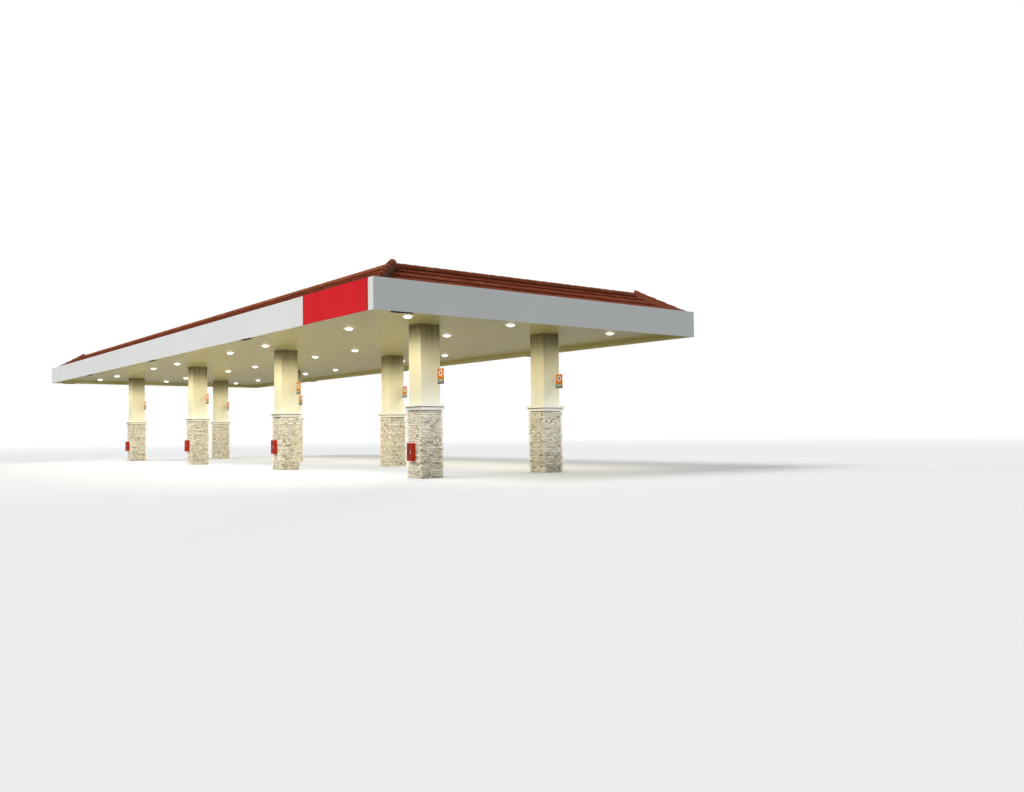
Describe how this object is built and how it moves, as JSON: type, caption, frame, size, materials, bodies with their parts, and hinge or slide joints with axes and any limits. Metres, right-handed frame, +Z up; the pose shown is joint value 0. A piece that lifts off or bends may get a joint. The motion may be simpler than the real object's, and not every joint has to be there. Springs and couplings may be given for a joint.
{
  "type": "filling station canopy",
  "caption": "Long rectangular forecourt canopy on square stone-based columns, with a deep flat fascia, a ribbed lit deck and a tiled hipped roof band around its edge.",
  "frame": {"origin": "bottom centre of the whole, on the ground, midway between the outer faces", "axes": "+X along the long side towards the short end nearer the sign box, +Y from the signed long face to the plain one, +Z up"},
  "size_m": [39, 13.03, 6.5199],
  "materials": {
    "stone": "dry-stacked ledge stone",
    "cap": "cast stone",
    "render": "smooth cream render",
    "steel": "primed steel",
    "fascia": "satin composite panel",
    "roof_tile": "fired clay tile",
    "ridge_tile": "fired clay tile",
    "deck": "baked paint on steel pans",
    "light": "white housing with diffuser",
    "sign": "red acrylic face",
    "flag": "painted sheet",
    "cabinet": "gloss red paint"
  },
  "bodies": {
    "root": {"front_stone_base_1": "stone", "front_column_cap_1": "cap", "front_column_shaft_1": "render", "front_stone_base_2": "stone", "front_column_cap_2": "cap", "front_column_shaft_2": "render", "front_stone_base_3": "stone", "front_column_cap_3": "cap", "front_column_shaft_3": "render", "front_stone_base_4": "stone", "front_column_cap_4": "cap", "front_column_shaft_4": "render", "front_girder": "steel", "back_stone_base_1": "stone", "back_column_cap_1": "cap", "back_column_shaft_1": "render", "back_stone_base_2": "stone", "back_column_cap_2": "cap", "back_column_shaft_2": "render", "back_stone_base_3": "stone", "back_column_cap_3": "cap", "back_column_shaft_3": "render", "back_stone_base_4": "stone", "back_column_cap_4": "cap", "back_column_shaft_4": "render", "back_girder": "steel", "front_fascia": "fascia", "front_roof_slope": "roof_tile", "front_ridge_cap": "ridge_tile", "right_fascia": "fascia", "right_roof_slope": "roof_tile", "right_ridge_cap": "ridge_tile", "back_fascia": "fascia", "back_roof_slope": "roof_tile", "back_ridge_cap": "ridge_tile", "left_fascia": "fascia", "left_roof_slope": "roof_tile", "left_ridge_cap": "ridge_tile", "hip_caps": "ridge_tile", "soffit_deck": "deck", "cross_purlins": "steel", "light_fittings": "light", "sign_box": "sign", "number_flags": "flag", "extinguisher_cabinets": "cabinet"}
  },
  "joints": []
}
